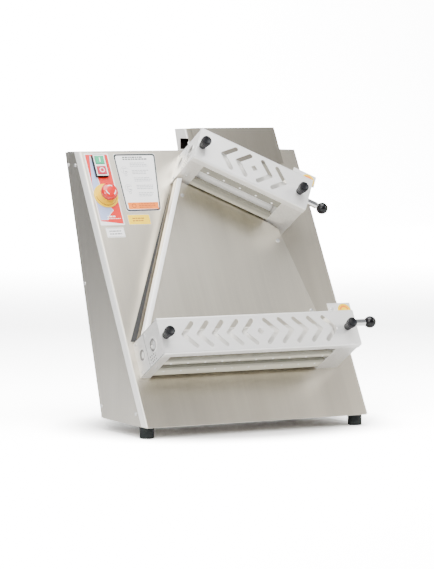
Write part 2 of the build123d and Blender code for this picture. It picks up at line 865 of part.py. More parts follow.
# bushes: one group for both heads
with BuildPart() as bushes:
    for head in heads:
        spots = (
            (head.left, head.left_width, rear_axis, bush_radius, journal_radius),
            (head.right_inner, wall, rear_axis, bush_radius, journal_radius),
            (head.right - wall, wall, rear_axis, bush_radius, journal_radius),
            (head.left, head.left_width, hub, eccentric_bush_radius, roller_bore),
            (head.right - wall, wall, hub, eccentric_bush_radius, roller_bore),
        )
        for start, length, axis, outer, inner in spots:
            with BuildSketch(across(head.bed, start)):
                with Locations(axis):
                    Circle(outer)
                    Circle(inner + running_clearance, mode=Mode.SUBTRACT)
            extrude(amount=length)
save(bushes, "bushes")

# motor mounts: an angle between each gearbox's face and the panel
with BuildPart() as motor_mounts:
    for head in heads:
        reach = motor_depth + motor_radius
        with BuildSketch(across(head.bed, head.gearbox_face)):
            with Locations((motor_axis[0], -skin - reach / 2)):
                Rectangle(2 * motor_radius + 12, reach)
            with Locations(motor_axis):
                Circle(motor_pulley_radius + 1, mode=Mode.SUBTRACT)
        extrude(amount=mount_sheet)
save(motor_mounts, "motor_mounts")

# ================= controls =================
panel_face = panel.offset(label_sheet)
with BuildPart() as control_label:
    with BuildSketch(panel):
        with Locations(control_label_middle):
            RectangleRounded(*control_label_size, 2)
        with Locations(switch_middle):
            Rectangle(*switch_hole, mode=Mode.SUBTRACT)
        with Locations(estop_middle):
            Circle(estop_hole_radius, mode=Mode.SUBTRACT)
    extrude(amount=label_sheet)
save(control_label, "control_label")

info_corners = (
    (left_edge + 82.5, panel_length - 6.0),
    (left_edge + 189.0, panel_length - 6.0),
    (left_edge + 168.6, panel_length - 152.0),
    (left_edge + 82.3, panel_length - 153.0),
)
small_labels = (
    ((left_edge + 108.0, panel_length - 173.2), (55.0, 25.0)),
    ((left_edge + 41.7, panel_length - 204.0), (44.5, 24.5)),
)
with BuildPart() as panel_labels:
    with BuildSketch(panel):
        Polygon(*info_corners, align=None)
        fillet(vertices(), 5)
        for middle, size in small_labels:
            with Locations(middle):
                RectangleRounded(*size, 1.5)
    extrude(amount=label_sheet)
    for head in heads:
        with BuildSketch(head.bed.offset(scale_height)):
            with Locations((head.right - 5, bracket_half + scale_rise / 2 - 4)):
                Circle(dial_radius)
            with Locations((head.right - 5, bracket_half + 1 - dial_radius)):
                Rectangle(3 * dial_radius, 2 * dial_radius, mode=Mode.SUBTRACT)
        extrude(amount=label_sheet)
save(panel_labels, "panel_labels")

with BuildPart() as switch_body:
    with BuildSketch(panel_face):
        with Locations(switch_middle):
            RectangleRounded(*switch_size, 4)
    extrude(amount=switch_height)
    chamfer(switch_body.faces().sort_by(Axis(panel.origin, panel.z_dir))[-1].outer_wire().edges(), 1.5)
    with BuildSketch(panel_face):
        with Locations(switch_middle):
            Rectangle(switch_hole[0] - 0.6, switch_hole[1] - 0.6)
    extrude(amount=-30)
    for side in (-1, 1):
        with BuildSketch(panel_face.offset(switch_height)):
            with Locations((switch_middle[0], switch_middle[1] + side * button_spread)):
                Rectangle(button_size[0] + 1, button_size[1] + 1)
        extrude(amount=-switch_height, mode=Mode.SUBTRACT)
        with BuildSketch(panel_face):
            with Locations((switch_middle[0], switch_middle[1] + side * button_spread)):
                Circle(button_stem_radius + 0.1)
        extrude(amount=-24, mode=Mode.SUBTRACT)
save(switch_body, "switch_body")

button_foot = button_travel + 0.5
for name, side in (("start_button", 1), ("stop_button", -1)):
    place = (switch_middle[0], switch_middle[1] + side * button_spread)
    with BuildPart() as button:
        with BuildSketch(panel_face.offset(button_foot)):
            with Locations(place):
                RectangleRounded(*button_size, 2)
        extrude(amount=button_sheet)
        chamfer(button.faces().sort_by(Axis(panel.origin, panel.z_dir))[-1].edges(), 1.0)
        with BuildSketch(panel_face.offset(button_foot)):
            with Locations(place):
                Circle(button_stem_radius)
        extrude(amount=-20)
    save(button, name)

with BuildPart() as estop_collar:
    with BuildSketch(panel_face):
        with Locations(estop_middle):
            Circle(estop_collar_radius)
    extrude(amount=collar_sheet)
    chamfer(estop_collar.faces().sort_by(Axis(panel.origin, panel.z_dir))[-1].edges(), 0.8)
    with BuildSketch(panel_face):
        with Locations(estop_middle):
            Circle(14.5)
    extrude(amount=estop_boss)
    with BuildSketch(panel_face):
        with Locations(estop_middle):
            Circle(estop_hole_radius - 0.2)
    extrude(amount=-26)
    with BuildSketch(panel_face.offset(estop_boss)):
        with Locations(estop_middle):
            Circle(estop_stem_radius + 0.1)
    extrude(amount=-40, mode=Mode.SUBTRACT)
save(estop_collar, "estop_collar")

cap_low = estop_boss + estop_travel + 1.0
with BuildPart() as estop_stem:
    with BuildSketch(panel_face.offset(cap_low + 6)):
        with Locations(estop_middle):
            Circle(estop_stem_radius)
    extrude(amount=-cap_low - 26)
save(estop_stem, "estop_stem")

with BuildPart() as estop_cap:
    with BuildSketch(panel_face.offset(cap_low)):
        with Locations(estop_middle):
            Circle(estop_radius)
    extrude(amount=14)
    fillet(estop_cap.faces().sort_by(Axis(panel.origin, panel.z_dir))[-1].edges(), 5)
    with BuildSketch(panel_face.offset(cap_low)):
        with Locations(estop_middle):
            Circle(estop_stem_radius + running_clearance)
    extrude(amount=6.3, mode=Mode.SUBTRACT)
save(estop_cap, "estop_cap")

with BuildPart() as cable_gland:
    with BuildSketch(back_face):
        with Locations(inlet_place):
            Circle(8.0)
            Circle(3.6, mode=Mode.SUBTRACT)
    extrude(amount=12, both=True)
    with BuildSketch(back_face.offset(skin)):
        with Locations(inlet_place):
            RegularPolygon(radius=12, side_count=6)
            Circle(3.6, mode=Mode.SUBTRACT)
    extrude(amount=6)
save(cable_gland, "cable_gland")
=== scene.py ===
from math import cos, pi, radians, sin

import bpy
import numpy as np
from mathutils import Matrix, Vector


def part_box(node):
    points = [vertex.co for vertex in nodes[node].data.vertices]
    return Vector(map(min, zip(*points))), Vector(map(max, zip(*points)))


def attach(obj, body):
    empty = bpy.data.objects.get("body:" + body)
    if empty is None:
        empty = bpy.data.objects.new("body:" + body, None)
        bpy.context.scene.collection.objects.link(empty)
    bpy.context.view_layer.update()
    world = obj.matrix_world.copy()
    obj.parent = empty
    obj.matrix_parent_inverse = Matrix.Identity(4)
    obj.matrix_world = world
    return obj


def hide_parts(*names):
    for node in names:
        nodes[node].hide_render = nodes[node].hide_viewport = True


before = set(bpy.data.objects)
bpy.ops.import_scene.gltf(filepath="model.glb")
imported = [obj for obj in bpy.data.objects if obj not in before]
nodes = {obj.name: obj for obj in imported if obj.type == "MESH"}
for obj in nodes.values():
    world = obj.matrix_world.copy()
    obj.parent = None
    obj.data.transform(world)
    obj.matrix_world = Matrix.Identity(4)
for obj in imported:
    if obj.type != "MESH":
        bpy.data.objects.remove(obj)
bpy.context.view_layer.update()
mm = 0.001


# places on the machine, in metres
class Bed:
    # a flat place: x across it, y up it, z out of it
    def __init__(self, origin, across, up):
        self.origin = np.array(origin, float)
        self.across = np.array(across, float)
        self.up = np.array(up, float)
        self.out = np.cross(self.across, self.up)

    def at(self, x, y, z=0.0):
        x, y, z = (np.asarray(v, float)[..., None] for v in (x, y, z))
        return self.origin + x * self.across + y * self.up + z * self.out

    def moved(self, x, y, z=0.0, turn=0.0):
        c, s = cos(turn), sin(turn)
        return Bed(self.at(x, y, z), c * self.across - s * self.up, s * self.across + c * self.up)

    def end(self, x, facing):
        # the plane square to x, seen from its outer side
        return Bed(self.at(x, 0), facing * self.up, self.out)


lean = radians(29.6)
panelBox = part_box("front_panel")
panel = Bed(
    ((panelBox[0][0] + panelBox[1][0]) / 2, panelBox[0][1], panelBox[0][2]),
    (1, 0, 0),
    (0, sin(lean), cos(lean)),
)
heads = {
    "upper": {
        "bed": panel.moved(0.076, 0.560, turn=radians(29)), "left": -0.143, "right": 0.143,
        "leftBlock": 0.034, "frontBar": (0.088, 0.108), "rearBar": (0.028, 0.052), "knobRise": -0.006,
    },
    "lower": {
        "bed": panel.moved(-0.0176, 0.158), "left": -0.246, "right": 0.246,
        "leftBlock": 0.023, "frontBar": (0.065, 0.088), "rearBar": (0.012, 0.049), "knobRise": 0.0,
    },
}
layout = {
    "coverHeight": 0.130, "coverHalf": 0.043, "lip": 0.018, "rightBlock": 0.053, "hub": (-0.00212, 0.08812),
    "bracketHalf": 0.041,
}


# shader graphs
class Socket:
    # one output of a shader node, so that shader maths reads as arithmetic
    def __init__(self, shader, socket):
        self.shader = shader
        self.socket = socket

    def math(self, operation, *others):
        inputs = dict(enumerate((self, *others)))
        return self.shader.node("ShaderNodeMath", {"operation": operation}, inputs)

    def __add__(self, other):
        return self.math("ADD", other)

    def __mul__(self, other):
        return self.math("MULTIPLY", other)

    def __sub__(self, other):
        return self.math("SUBTRACT", other)

    def __rsub__(self, other):
        return self * -1.0 + other

    __radd__ = __add__
    __rmul__ = __mul__

    def ramp(self, low, high):
        # 0 at low, 1 at high, smooth between
        sockets = {"Value": self, "From Min": low, "From Max": high}
        return self.shader.node("ShaderNodeMapRange", {"interpolation_type": "SMOOTHSTEP"}, sockets)


class Shader:
    def __init__(self, name):
        self.material = bpy.data.materials.new(name)
        self.material.use_nodes = True
        self.tree = self.material.node_tree
        self.surface = self.tree.nodes["Principled BSDF"]

    def put(self, target, value):
        if isinstance(value, Socket):
            self.tree.links.new(value.socket, target)
        else:
            target.default_value = value

    def node(self, kind, settings=None, sockets=None, output=0):
        made = self.tree.nodes.new(kind)
        for key, value in (settings or {}).items():
            setattr(made, key, value)
        for key, value in (sockets or {}).items():
            self.put(made.inputs[key], value)
        return Socket(self, made.outputs[output])

    def place(self):
        return self.node("ShaderNodeTexCoord", output="Object")

    def along(self, direction):
        # distance along a direction of the row frame, in metres
        sockets = {0: self.place(), 1: direction}
        return self.node("ShaderNodeVectorMath", {"operation": "DOT_PRODUCT"}, sockets, "Value")

    def noise(self, scales, detail=2.0):
        stretched = self.node("ShaderNodeVectorMath", {"operation": "MULTIPLY"}, {0: self.place(), 1: scales})
        return self.node("ShaderNodeTexNoise", {}, {"Vector": stretched, "Scale": 1.0, "Detail": detail})

    def blend(self, amount, low, high):
        sockets = {"Factor": amount, 6: (*low, 1) if isinstance(low, tuple) else low}
        sockets[7] = (*high, 1) if isinstance(high, tuple) else high
        return self.node("ShaderNodeMix", {"data_type": "RGBA"}, sockets, 2)

    def bump(self, height, strength, distance):
        sockets = {"Height": height, "Strength": strength, "Distance": distance}
        return self.node("ShaderNodeBump", {}, sockets)

    def finish(self, **values):
        names = {
            "colour": "Base Color", "rough": "Roughness", "metal": "Metallic", "coat": "Coat Weight",
            "normal": "Normal",
            "specular": "Specular IOR Level",
        }
        for key, value in values.items():
            if key == "colour" and isinstance(value, tuple):
                value = (*value, 1)
            self.put(self.surface.inputs[names[key]], value)
        return self.material


def plainSurface(name, colour, rough, metal=0.0, coat=0.0, grain=0.0, grainScale=900.0, specular=0.5):
    shader = Shader(name)
    mottle = shader.noise((grainScale,) * 3)
    tone = shader.blend(mottle.ramp(0.35, 0.65), tuple(c * (1 - grain) for c in colour), colour)
    return shader.finish(
        colour=tone, rough=mottle * 0.08 + (rough - 0.04), metal=metal, coat=coat, specular=specular,
    )


def brushed(name, colour, rough, streaks, shade=None, metal=1.0, contrast=0.08, bright=None):
    # streaks: how many grains per metre along X, Y and Z; shade and bright give 0..1 painted shade and painted
    # highlight
    shader = Shader(name)
    fine = shader.noise(streaks, 3.0)
    wide = shader.noise(tuple(s * 0.06 for s in streaks), 1.0)
    grain = fine.ramp(0.3, 0.7) * 0.6 + wide.ramp(0.3, 0.7) * 0.4
    dark = tuple(c * (1 - contrast) for c in colour)
    tone = shader.blend(grain, dark, colour)
    # painted shade: toward a darker copy of the colour where shade is 1
    if shade:
        tone = shader.blend(shade(shader), tone, tuple(c * 0.45 for c in colour))
    # painted highlight: toward near white and less metal where bright is 1
    if bright:
        paintedHighlight = bright(shader)
        tone = shader.blend(paintedHighlight, tone, (0.98, 0.97, 0.94))
        metal = paintedHighlight * -0.75 + metal
    return shader.finish(
        colour=tone, rough=fine * 0.1 + (rough - 0.05), metal=metal,
        normal=shader.bump(fine, 0.06, 0.0002),
    )


def paintedPanelShade(shader):
    # painted shade: darker toward the right, the top and the foot, with soft bands along the slope
    side = shader.along((1.0, 0.0, 0.0))
    height = shader.along((0.0, 0.0, 1.0))
    bands = shader.noise((16, 1.5, 1.5), 1.0).ramp(0.35, 0.7) * 0.16
    foot = 1.0 - height.ramp(0.03, 0.26)
    return side.ramp(0.10, 0.22) * 0.22 + height.ramp(0.50, 0.62) * 0.22 + foot * 0.10 + bands


def paintedChuteShade(shader):
    # painted shade: dark under the upper head, with soft bands along the slope
    height = shader.along((0.0, 0.0, 1.0))
    bands = shader.noise((22, 1.2, 1.2), 1.0).ramp(0.35, 0.7) * 0.25
    return height.ramp(0.36, 0.52) * (bands + 0.22) + bands * 0.3


def paintedSideShade(shader):
    # painted shade: darker toward the top and lighter toward the floor, with faint random streaks
    height = shader.along((0.0, 0.0, 1.0))
    return height.ramp(0.12, 0.58) * 0.6 + shader.noise((2, 14, 2), 1.0).ramp(0.35, 0.7) * 0.08


def paintedLeftHighlight(node):
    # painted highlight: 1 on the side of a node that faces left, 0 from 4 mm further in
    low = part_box(node)[0][0]
    return lambda shader: 1.0 - shader.along((1.0, 0.0, 0.0)).ramp(low + 0.0008, low + 0.004)


def paintedBarShadeAndHighlight(shader):
    # painted light and shade on two bars, by height above the panel: a painted highlight band along the upper one, a
    # painted dark gap, a lighter lower one
    height = shader.along(tuple(panel.out.tolist())) - float(panel.origin @ panel.out)
    paintedHighlightBand = height.ramp(0.066, 0.074) * (1.0 - height.ramp(0.076, 0.085))
    paintedLightBelow = 1.0 - height.ramp(0.030, 0.046)
    return (1.0 - paintedHighlightBand) * (1.0 - paintedLightBelow)


materials = {
    # the panel, side, hood, chute and bar finishes carry painted shade and painted highlights from the functions
    # above
    "panelSteel": brushed(
        "panelSteel", (0.68, 0.63, 0.53), 0.34, (700, 5, 5), paintedPanelShade, bright=paintedLeftHighlight("front_panel"),
    ),
    "sideSteel": brushed("sideSteel", (0.58, 0.55, 0.49), 0.36, (5, 500, 12), paintedSideShade),
    "hoodSteel": brushed("hoodSteel", (0.30, 0.275, 0.23), 0.34, (600, 6, 6), bright=paintedLeftHighlight("hood")),
    "chuteSteel": brushed("chuteSteel", (0.80, 0.75, 0.64), 0.32, (700, 5, 5), paintedChuteShade),
    "coverSteel": brushed("coverSteel", (0.99, 0.985, 0.97), 0.40, (30, 500, 500), metal=0.75, contrast=0.04),
    "castMetal": plainSurface("castMetal", (0.86, 0.85, 0.83), 0.38, 0.75, grain=0.08, grainScale=260),
    "ivoryBar": brushed(
        "ivoryBar", (0.58, 0.56, 0.46), 0.42, (12, 160, 160), paintedBarShadeAndHighlight, metal=0.0, contrast=0.05,
    ),
    "railSatin": plainSurface("railSatin", (0.95, 0.945, 0.93), 0.35, 0.2, grain=0.02),
    "brightHead": plainSurface("brightHead", (0.97, 0.97, 0.96), 0.25, 0.2),
    "rollerPlastic": plainSurface("rollerPlastic", (0.90, 0.89, 0.86), 0.28, grain=0.02, coat=0.2),
    "chrome": plainSurface("chrome", (0.86, 0.86, 0.86), 0.12, 1.0),
    "zinc": plainSurface("zinc", (0.72, 0.72, 0.72), 0.3, 1.0, grain=0.05),
    "bushSteel": plainSurface("bushSteel", (0.42, 0.41, 0.39), 0.35, 1.0, grain=0.1),
    "blackPlastic": plainSurface("blackPlastic", (0.005, 0.0055, 0.007), 0.38, grain=0.1, specular=0.22),
    "blackGloss": plainSurface("blackGloss", (0.002, 0.002, 0.003), 0.12, specular=0.35),
    "rubber": plainSurface("rubber", (0.016, 0.02, 0.02), 0.7, grain=0.25, grainScale=500, specular=0.3),
    "beltRubber": plainSurface("beltRubber", (0.03, 0.03, 0.03), 0.75, grain=0.2),
    "motorPaint": plainSurface("motorPaint", (0.12, 0.14, 0.17), 0.4, grain=0.05),
    "printRed": plainSurface("printRed", (0.70, 0.012, 0.008), 0.32, coat=0.3),
    "printWhite": plainSurface("printWhite", (0.86, 0.86, 0.86), 0.32, coat=0.3),
    "printBlue": plainSurface("printBlue", (0.38, 0.46, 0.72), 0.32, coat=0.3),
    "printBlack": plainSurface("printBlack", (0.015, 0.018, 0.022), 0.35, coat=0.2),
    "printGrey": plainSurface("printGrey", (0.05, 0.052, 0.06), 0.4),
    "printPale": plainSurface("printPale", (0.30, 0.31, 0.34), 0.4),
    "printOrange": plainSurface("printOrange", (0.88, 0.20, 0.01), 0.35, coat=0.2),
    "printBrown": plainSurface("printBrown", (0.28, 0.05, 0.006), 0.4),
    "printYellow": plainSurface("printYellow", (0.92, 0.62, 0.002), 0.35, coat=0.2),
    "stopRed": plainSurface("stopRed", (0.62, 0.008, 0.006), 0.25, coat=0.5),
    "buttonRed": plainSurface("buttonRed", (0.50, 0.012, 0.05), 0.3, coat=0.4),
    "buttonGreen": plainSurface("buttonGreen", (0.008, 0.42, 0.20), 0.3, coat=0.4),
    "yellowPlastic": plainSurface("yellowPlastic", (0.92, 0.60, 0.001), 0.3, coat=0.3),
    "recess": plainSurface("recess", (0.03, 0.03, 0.03), 0.6, grain=0.1),
}
finishes = {
    "front_panel": "panelSteel", "left_side_cover": "sideSteel", "right_side_cover": "sideSteel",
    "back_cover": "sideSteel", "base_plate": "sideSteel", "feet": "rubber", "foot_bolts": "zinc",
    "hood": "hoodSteel", "casing_screws": "zinc", "chute_plate": "chuteSteel", "chute_spacers": "zinc",
    "bushes": "bushSteel", "motor_mounts": "zinc", "control_label": "printWhite", "panel_labels": "printWhite",
    "switch_body": "blackPlastic", "start_button": "buttonGreen", "stop_button": "buttonRed",
    "estop_collar": "yellowPlastic", "estop_stem": "zinc", "estop_cap": "stopRed", "cable_gland": "blackPlastic",
}
headFinishes = {
    "left_bracket": "castMetal", "right_bracket": "castMetal", "bracket_cap": "castMetal",
    "rear_roller": "rollerPlastic", "rear_gear": "zinc", "front_roller": "rollerPlastic", "front_gear": "zinc",
    "front_shaft": "chrome", "lever_arm": "chrome", "index_pin": "chrome", "lever_ball": "blackGloss",
    "scale_plate": "coverSteel", "scrapers": "ivoryBar", "cover": "coverSteel", "left_knob": "blackPlastic",
    "right_knob": "blackPlastic", "gearmotor": "motorPaint", "motor_pulley": "zinc", "drive_belt": "beltRubber",
}
for head in heads:
    finishes.update({f"{head}_{part}": finish for part, finish in headFinishes.items()})
for name, node in nodes.items():
    node.data.materials.clear()
    node.data.materials.append(materials[finishes[name]])
print("materials")


# making pieces
def piece(name, vertices, faces, finish, body, picks=None, smooth=True):
    mesh = bpy.data.meshes.new(name)
    mesh.from_pydata(np.asarray(vertices).reshape(-1, 3).tolist(), [], faces)
    used = [finish] if isinstance(finish, str) else finish
    for each in used:
        mesh.materials.append(materials[each])
    if picks is not None:
        mesh.polygons.foreach_set("material_index", picks)
    mesh.polygons.foreach_set("use_smooth", [smooth] * len(mesh.polygons))
    mesh.update()
    made = bpy.data.objects.new(name, mesh)
    bpy.context.scene.collection.objects.link(made)
    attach(made, body)
    return made


def gridFaces(rows, columns, start=0, closed=True):
    # quads between neighbouring rows; closed joins the last column to the first
    faces = []
    for i in range(rows - 1):
        for j in range(columns if closed else columns - 1):
            k = (j + 1) % columns
            a, b = start + i * columns, start + (i + 1) * columns
            faces.append((a + j, a + k, b + k, b + j))
    return faces


def turned(name, places, profile, finish, body, steps=40, ripple=None, smooth=True, sharp=radians(40)):
    # surface of revolution about each place's outward axis: radius r(h) times 1 + ripple(angle, h)
    angles = np.linspace(0, 2 * pi, steps, endpoint=False)
    radii, heights = np.array(profile, float).T
    vertices, faces = [], []
    for bed in places:
        r = radii[:, None] * (1 + (ripple(angles[None, :], heights[:, None]) if ripple else 0))
        r = np.broadcast_to(r, (len(radii), steps))
        start = len(vertices) * len(radii) * steps
        vertices.append(bed.at(r * np.cos(angles), r * np.sin(angles), np.broadcast_to(heights[:, None], r.shape)))
        faces += gridFaces(len(radii), steps, start)
    made = piece(name, vertices, faces, finish, body, smooth=smooth)
    made.data.set_sharp_from_angle(angle=sharp)
    return made


def rectangle(x, y, width, height):
    w, h = width / 2, height / 2
    return [[(x - w, y - h), (x + w, y - h), (x + w, y + h), (x - w, y + h)]]


def rounded(corners, radius, steps=5):
    # a convex outline with each corner replaced by a quadratic curve
    points = np.array(corners, float)
    outline = []
    for i, corner in enumerate(points):
        before, after = points[i - 1] - corner, points[(i + 1) % len(points)] - corner
        start = corner + before / np.linalg.norm(before) * radius
        end = corner + after / np.linalg.norm(after) * radius
        for t in np.linspace(0, 1, steps):
            outline.append(tuple((1 - t) ** 2 * start + 2 * t * (1 - t) * corner + t * t * end))
    return [outline]


def band(x, y, inner, outer, first, last, steps=16):
    # part of a flat ring between two angles in degrees
    angles = np.radians(np.linspace(first, last, steps + 1))
    near = [(x + inner * cos(a), y + inner * sin(a)) for a in angles]
    far = [(x + outer * cos(a), y + outer * sin(a)) for a in angles]
    return [[near[i], far[i], far[i + 1], near[i + 1]] for i in range(steps)]


def printed(name, bed, height, layers, body):
    # flat inks laid one over another, each 0.04 mm above the last
    vertices, faces, picks, inks = [], [], [], []
    for level, (ink, shapes) in enumerate(layers):
        if ink not in inks:
            inks.append(ink)
        for outline in shapes:
            x, y = np.array(outline, float).T * mm
            faces.append(tuple(range(len(vertices), len(vertices) + len(outline))))
            vertices += bed.at(x, y, np.full(len(x), height + level * 0.04 * mm)).tolist()
            picks.append(inks.index(ink))
    return piece(name, vertices, faces, inks, body, picks, smooth=False)


def textBars(x, y, width, lines, pitch, thickness, seed):
    # lines of writing stand as rows of short bars with uneven words
    random = np.random.default_rng(seed)
    bars = []
    for line in range(lines):
        at = x
        end = x + width * random.uniform(0.72, 1.0)
        while at < end - 2:
            word = min(random.uniform(3, 8), end - at)
            bars += rectangle(at + word / 2, y - line * pitch, word, thickness)
            at += word + 1.3
    return bars


def screwHead(radius, height):
    # a low domed head with a round recess
    return [
        (0, 0.3 * height), (0.4 * radius, 0.3 * height), (0.42 * radius, 0.95 * height), (0.6 * radius, height),
        (0.85 * radius, 0.8 * height), (radius, 0.35 * height), (radius, 0),
    ]


# labels and controls
swoosh = [
    (-257, 668), (-252, 640), (-250, 600), (-247, 578), (-243, 556), (-238, 538), (-231, 528), (-240, 520),
    (-247, 511), (-250, 504), (-267, 504), (-267, 590),
]
swooshEdge = [(x + (1.6 if x > -262 else 0), y - (0 if y > 660 else 0.6)) for x, y in swoosh]
wedge = [(-267, 669), (-258.5, 669), (-263, 628), (-266.8, 600)]
printed(
    "controlPrint", panel, 0.45 * mm,
    [
        ("printRed", rounded([(-267.5, 501), (-212.5, 493), (-212.5, 669), (-267.5, 669)], 2)),
        ("printWhite", [swooshEdge]),
        ("printBlue", [swoosh]),
        ("printRed", [wedge]),
        ("printWhite", textBars(-249, 512, 30, 1, 4, 3.6, 3) + textBars(-251, 506.5, 36, 1, 4, 1.6, 5)),
    ],
    "casing",
)
sx, sy = -238, 638.5
printed(
    "switchFrame", panel, 7.45 * mm,
    [("printWhite", rectangle(sx - 12.9, sy, 2.6, 52.6) + rectangle(sx + 12.9, sy, 2.6, 52.6)
      + rectangle(sx, sy + 25, 23.4, 2.6) + rectangle(sx, sy, 23.4, 4.8) + rectangle(sx, sy - 25, 23.4, 2.6))],
    "casing",
)
printed("startMark", panel, 9.46 * mm, [("printWhite", rectangle(sx, sy + 13, 2.2, 11))], "start_button")
printed("stopMark", panel, 9.46 * mm, [("printWhite", band(sx, sy - 13, 4.4, 6.2, 0, 360, 32))], "stop_button")

# emergency stop: a domed cap with three arcs, and ticks on its collar
stopBed = panel.moved(-240 * mm, 564 * mm)
capProfile = [
    (6.1, 15.4), (17, 15.4), (19.3, 15.9), (20, 17.6), (20, 21.5), (19.3, 24.6), (17.4, 27.1), (14, 28.7),
    (9, 29.2), (0.01, 29.35),
]
cap = turned(
    "stopCap", [stopBed], [(r * mm, h * mm) for r, h in capProfile], "stopRed", "estop_cap", 72,
    ripple=lambda angle, h: -0.02 * (0.5 - 0.5 * np.cos(24 * angle)) * ((h > 0.0165) & (h < 0.0235)),
)
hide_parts("estop_cap")
printed(
    "stopArcs", stopBed, 29.38 * mm,
    [("printWhite", sum((band(0, 0, 10.6, 12.6, a - 30, a + 30) for a in (90, 210, 330)), []))],
    "estop_cap",
)
ticks = sum((band(0, 0, 23.4, 26.2, a, a + 4.5, 2) for a in range(186, 354, 8)), [])
printed("collarTicks", stopBed, 3.43 * mm, [("printBrown", ticks)], "casing")


def inset(corners, distance):
    points = np.array(corners, float)
    middle = points.mean(0)
    half = np.abs(points - middle).max(0)
    return [tuple(p) for p in middle + (points - middle) * (1 - distance / half)]


info = [(-197.5, 670), (-91, 670), (-111.4, 524), (-197.7, 523)]
drawings = []
for dx, dy in ((-178, 628), (-178, 583)):
    drawings += band(dx, dy, 8.6, 9.2, 20, 330, 24) + rectangle(dx, dy + 4, 9, 1.1) + rectangle(dx - 3, dy - 2, 1, 9)
    drawings += rectangle(dx + 3, dy - 4, 6, 2.2) + band(dx + 1, dy - 12, 2.4, 3.2, 0, 360, 14)
writing = textBars(-176, 661, 68, 2, 5.0, 2.9, 11)
small = sum((textBars(-161 + 1.2 * k, 646 - 19 * k, 46, 3, 4, 1.5, 20 + k) for k in range(5)), [])
printed(
    "infoPrint", panel, 0.45 * mm,
    [
        ("printBlack", rounded(inset(info, 0.6), 8)),
        ("printWhite", rounded(inset(info, 4.6), 6)),
        ("printOrange", [[(-190.4, 546), (-113.6, 546), (-115.6, 529), (-190.4, 529)]]),
        ("printBlack", writing),
        ("printPale", small + drawings),
        ("printBrown", textBars(-163, 542, 42, 3, 4.3, 1.4, 31) + band(-176, 537.5, 4.2, 5.4, 0, 360, 20)),
    ],
    "casing",
)
printed(
    "smallPrint", panel, 0.45 * mm,
    [
        ("printYellow", rounded([(-199, 490.8), (-145, 490.8), (-145, 514.8), (-199, 514.8)], 1.5)),
        ("printBrown", textBars(-188, 506, 32, 2, 6, 2.4, 41)),
        ("printGrey", rectangle(-238.3, 482.4, 40, 0.5) + rectangle(-238.3, 461.6, 40, 0.5)
         + textBars(-253, 475.5, 32, 2, 7, 2.2, 43)),
    ],
    "casing",
)
print("labels")

# roller heads
knobProfile = [
    (0.01, -19.4), (2.9, -19.4), (2.9, 0.0), (7.6, 0.05), (8.3, 0.8), (8.5, 3), (8.8, 7), (9.6, 12), (10.8, 17),
    (11.4, 20), (11.5, 23), (11.4, 26.2), (10.8, 28.1), (9.6, 28.95), (8.4, 28.95), (7.8, 28.5), (0.01, 28.5),
]


def flutes(angle, height):
    # eighteen shallow flutes that fade out toward both ends of the grip
    depth = 0.085 * np.clip((height - 0.0008) / 0.003, 0, 1) * np.clip((0.0284 - height) / 0.003, 0, 1)
    return -depth * (0.5 - 0.5 * np.cos(18 * angle)) ** 0.7


